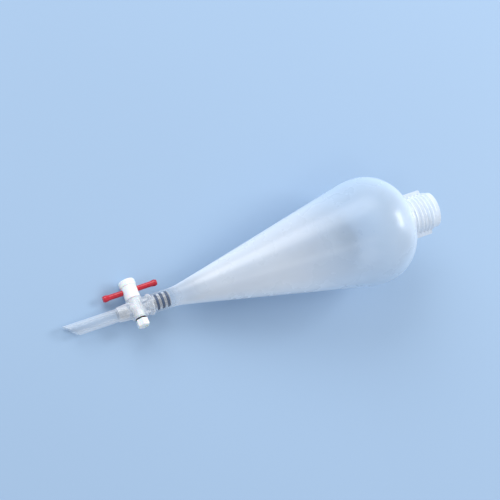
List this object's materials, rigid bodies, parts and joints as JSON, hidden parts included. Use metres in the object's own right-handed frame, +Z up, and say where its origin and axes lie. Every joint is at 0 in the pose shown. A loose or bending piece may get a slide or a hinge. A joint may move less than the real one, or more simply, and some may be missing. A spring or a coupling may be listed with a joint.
{
  "type": "dropping funnel",
  "caption": "Pear-shaped translucent plastic dropping funnel with threaded filling neck, PTFE-key stopcock, cross handle and bevelled delivery stem, lying on its side.",
  "frame": {"origin": "middle of the lying funnel's footprint box, on the surface that it lies on", "axes": "+Z up; +X along the funnel towards its filling neck, level; +Y towards the side where the key's head lies"},
  "size_m": [0.4024, 0.112, 0.1122],
  "materials": {
    "milky_plastic": "satin",
    "clear_plastic": "gloss",
    "tube_plastic": "gloss",
    "white_ptfe": "satin",
    "red_plastic": "gloss",
    "dark_seal": "satin",
    "black_rubber": "satin"
  },
  "bodies": {
    "vessel": {"vessel": "milky_plastic"},
    "stopcock": {"stopcock_body": "clear_plastic", "delivery_stem": "tube_plastic", "spigot_o_ring_lower": "dark_seal", "spigot_o_ring_middle": "dark_seal", "spigot_o_ring_upper": "dark_seal"},
    "key": {"key": "white_ptfe", "handle_rod": "red_plastic"},
    "tension_stack": {"key_washer": "white_ptfe", "tension_o_ring": "black_rubber"},
    "nut": {"tension_nut": "white_ptfe"}
  },
  "joints": [
    {"name": "stopcock_swivel", "type": "hinge", "parent": "vessel", "child": "stopcock", "pos_m": [-0.10136, 0, 0.02109], "axis": [0.988, 0, 0.1544], "continuous": true},
    {"name": "key_turn", "type": "hinge", "parent": "stopcock", "child": "key", "pos_m": [-0.12705, 0, 0.01708], "axis": [0.0484, 0.9495, -0.31], "continuous": true},
    {"name": "nut_travel", "type": "slide", "parent": "key", "child": "tension_stack", "axis": [-0.0484, -0.9495, 0.31], "range_m": [0, 0.003]},
    {"name": "nut_turn", "type": "hinge", "parent": "tension_stack", "child": "nut", "pos_m": [-0.12781, -0.01495, 0.02196], "axis": [-0.0484, -0.9495, 0.31], "range_deg": [0, 720]}
  ],
  "couplings": [
    {"joint": "nut_turn", "follows": "nut_travel", "rad_per_m": 4188.8}
  ]
}
